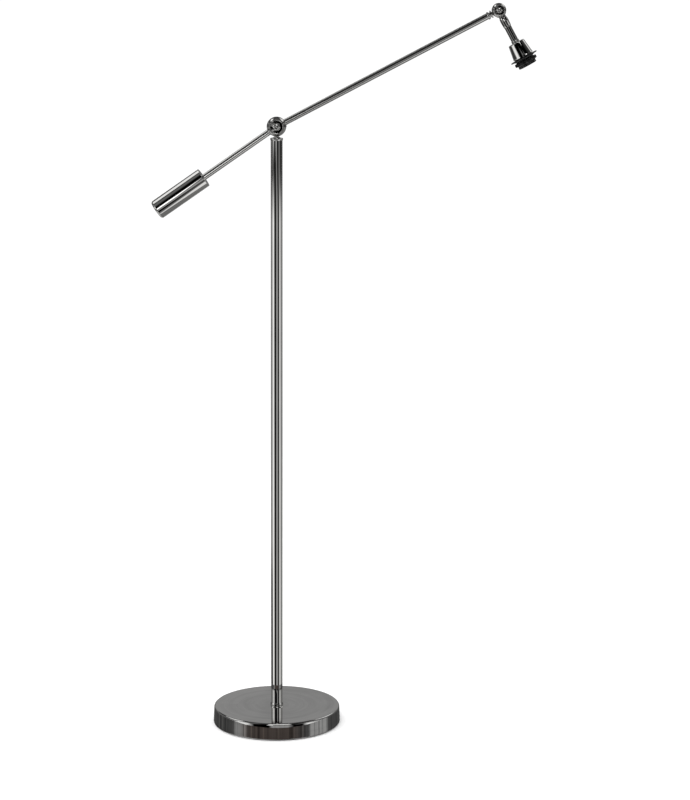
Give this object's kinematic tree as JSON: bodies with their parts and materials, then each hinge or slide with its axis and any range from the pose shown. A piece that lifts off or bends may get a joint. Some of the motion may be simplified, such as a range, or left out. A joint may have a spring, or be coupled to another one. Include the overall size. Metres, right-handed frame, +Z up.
{
  "type": "adjustable arm floor lamp",
  "caption": "Floor lamp with a round weighted base, slim pole, balanced arm on a ball knuckle with a rod counterweight, and a tilting stem with a screw lampholder and shade rings.",
  "frame": {"origin": "centre of the underside of the base, on the pole's axis, on the floor", "axes": "+Z up along the pole; the arm lies in the XZ plane and reaches towards +X, with the counterweight towards -X; the cord inlet is at the back, +Y"},
  "size_m": [0.7895, 0.2731, 1.5208],
  "materials": {
    "dark_chrome": "polished nickel plating, mirror bright, so it looks dark in a dark room",
    "polished_cover": "polished plating, faint turned rings and clouding on the top",
    "zinc_steel": "zinc plated, as turned",
    "cast_iron": "rough, painted",
    "felt": "pressed felt",
    "brass": "turned",
    "phenolic": "moulded, glossy",
    "ceramic": "unglazed ceramic",
    "pvc": "matt cable sheath",
    "fibre": "vulcanised fibre"
  },
  "bodies": {
    "stand": {"base_pad": "felt", "base_weight": "cast_iron", "base_cover": "polished_cover", "cord_inlet": "pvc", "foot_nut": "zinc_steel", "foot_washer": "zinc_steel", "foot_nipple": "zinc_steel", "foot_plug": "zinc_steel", "foot_ring": "dark_chrome", "pole_tube": "dark_chrome", "pole_cap": "dark_chrome", "pole_cable": "pvc"},
    "swivel": {"swivel_neck": "dark_chrome", "swivel_washer": "zinc_steel", "swivel_nut": "zinc_steel", "swivel_stop_pin": "zinc_steel"},
    "arm": {"elbow_ball": "dark_chrome", "elbow_stud": "zinc_steel", "elbow_cap_front": "dark_chrome", "elbow_cap_back": "dark_chrome", "elbow_friction_washers": "fibre", "front_rod": "dark_chrome", "front_nipple": "zinc_steel", "arm_cable": "pvc", "arm_end_bush": "dark_chrome", "rear_rod": "dark_chrome", "counterweight_shell": "dark_chrome", "counterweight_core": "cast_iron", "counterweight_plate": "dark_chrome"},
    "wrist": {"head_neck": "dark_chrome", "head_clip": "zinc_steel"},
    "head": {"head_ball": "dark_chrome", "head_stud": "zinc_steel", "head_cap_front": "dark_chrome", "head_cap_back": "dark_chrome", "head_friction_washers": "fibre", "stem_nipple": "zinc_steel", "stem_bell": "dark_chrome", "stem_tube": "dark_chrome", "stem_ring": "dark_chrome", "stem_cable": "pvc", "cup_nipple": "zinc_steel", "holder_cup": "dark_chrome", "holder_dome": "phenolic", "holder_insert": "ceramic", "terminal_screws": "brass", "centre_contact": "brass", "screw_shell": "brass", "holder_skirt": "phenolic", "shade_ring_upper": "phenolic"},
    "clamp_ring": {"shade_ring_lower": "phenolic"}
  },
  "joints": [
    {"name": "pan", "type": "hinge", "parent": "stand", "child": "swivel", "pos_m": [0, 0, 1.2405], "axis": [0, 0, 1], "range_deg": [-158, 158]},
    {"name": "arm_tilt", "type": "hinge", "parent": "swivel", "child": "arm", "pos_m": [0, 0, 1.269], "axis": [0, -1, 0], "range_deg": [-72, 10]},
    {"name": "head_roll", "type": "hinge", "parent": "arm", "child": "wrist", "pos_m": [0.45155, 0, 1.50607], "axis": [0.8854, 0, 0.4648], "range_deg": [-90, 90]},
    {"name": "head_tilt", "type": "hinge", "parent": "wrist", "child": "head", "pos_m": [0.45155, 0, 1.50607], "axis": [0, -1, 0], "range_deg": [-32, 207]},
    {"name": "shade_ring_unscrew", "type": "slide", "parent": "head", "child": "clamp_ring", "axis": [0.4848, 0, -0.8746], "range_m": [-0.002, 0.016]}
  ]
}
